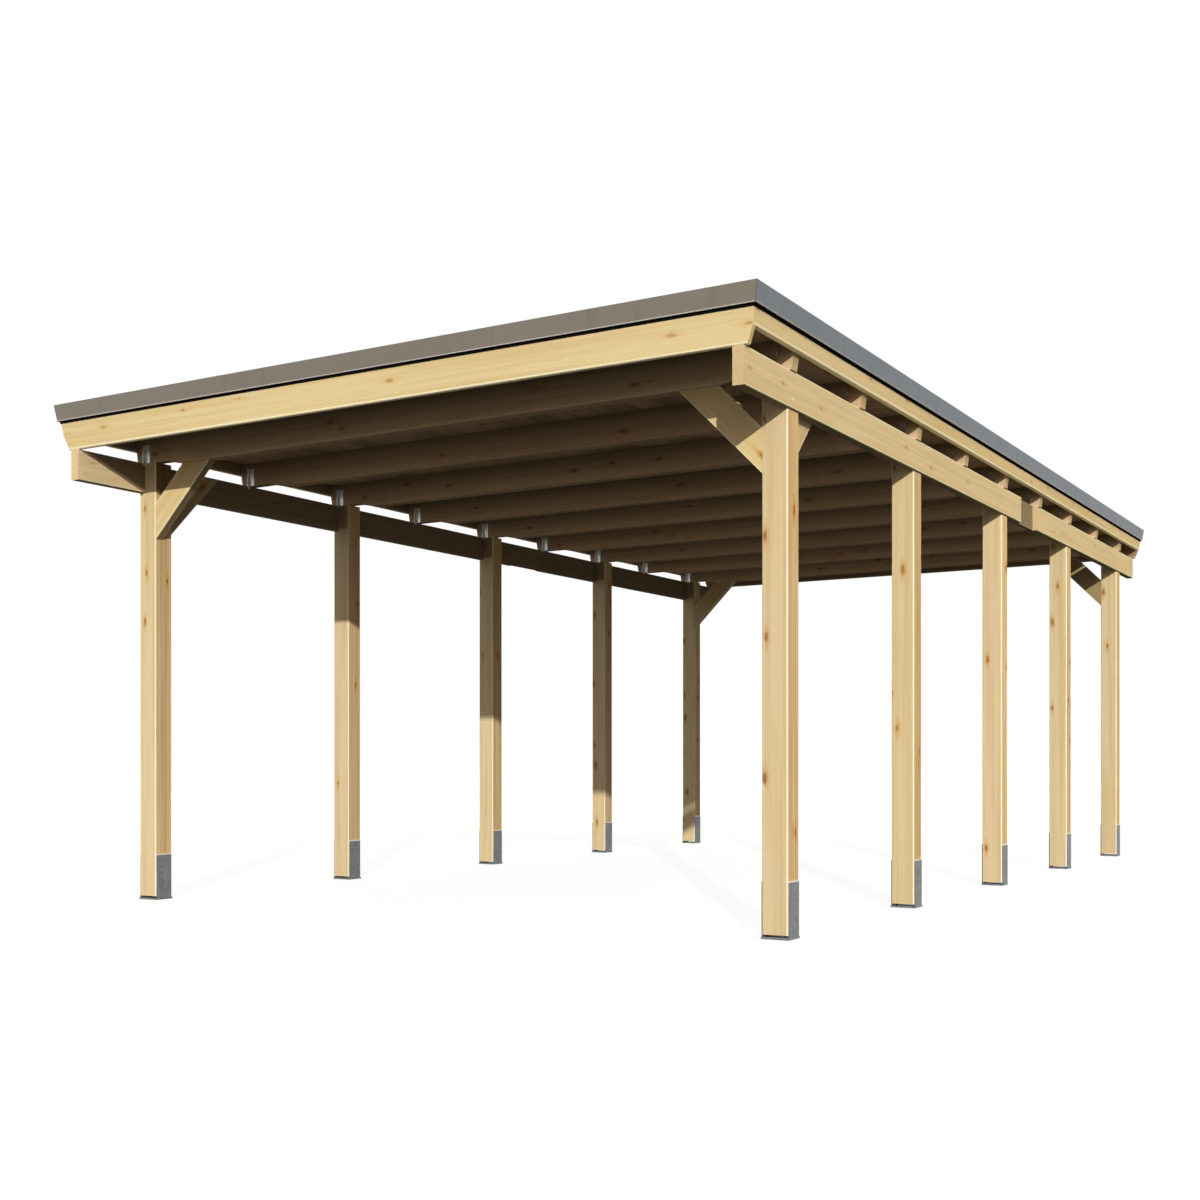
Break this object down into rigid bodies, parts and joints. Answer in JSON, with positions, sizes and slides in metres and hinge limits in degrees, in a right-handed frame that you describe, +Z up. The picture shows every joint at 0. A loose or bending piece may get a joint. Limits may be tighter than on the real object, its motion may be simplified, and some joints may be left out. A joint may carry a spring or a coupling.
{
  "type": "timber carport",
  "caption": "Open flat-roofed timber carport on square posts in steel shoes, with purlins, rafters, knee braces and a leaning roof edge.",
  "frame": {"origin": "on the ground, under the middle of the roof", "axes": "+Z up, +Y along the drive from the open front to the rear, +X to the right seen from the front"},
  "size_m": [4.04, 7.68, 2.6591],
  "materials": {
    "post_timber": "planed, untreated",
    "purlin_timber": "planed, untreated",
    "rafter_timber": "planed, untreated",
    "brace_timber": "planed, untreated",
    "fascia_timber": "planed, untreated",
    "deck_timber": "planed, untreated",
    "galvanised_steel": "galvanised",
    "edge_trim": "satin coating",
    "membrane": "matt"
  },
  "bodies": {
    "root": {"post_left_1": "post_timber", "post_left_2": "post_timber", "post_left_3": "post_timber", "post_left_4": "post_timber", "post_left_5": "post_timber", "post_right_1": "post_timber", "post_right_2": "post_timber", "post_right_3": "post_timber", "post_right_4": "post_timber", "post_right_5": "post_timber", "post_shoes_left": "galvanised_steel", "rafter_brackets_left": "galvanised_steel", "purlin_front_left": "purlin_timber", "purlin_rear_left": "purlin_timber", "brace_front_left": "brace_timber", "brace_rear_left": "brace_timber", "side_brace_left": "brace_timber", "post_shoes_right": "galvanised_steel", "rafter_brackets_right": "galvanised_steel", "purlin_front_right": "purlin_timber", "purlin_rear_right": "purlin_timber", "brace_front_right": "brace_timber", "brace_rear_right": "brace_timber", "side_brace_right": "brace_timber", "rafter_1": "rafter_timber", "rafter_2": "rafter_timber", "rafter_3": "rafter_timber", "rafter_4": "rafter_timber", "rafter_5": "rafter_timber", "rafter_6": "rafter_timber", "rafter_7": "rafter_timber", "rafter_8": "rafter_timber", "rafter_9": "rafter_timber", "fascia_front": "fascia_timber", "trim_front": "edge_trim", "fascia_rear": "fascia_timber", "trim_rear": "edge_trim", "fascia_left": "fascia_timber", "trim_left": "edge_trim", "fascia_right": "fascia_timber", "trim_right": "edge_trim", "roof_deck": "deck_timber", "roof_membrane": "membrane", "membrane_upstands_sides": "membrane", "membrane_upstands_ends": "membrane"}
  },
  "joints": []
}
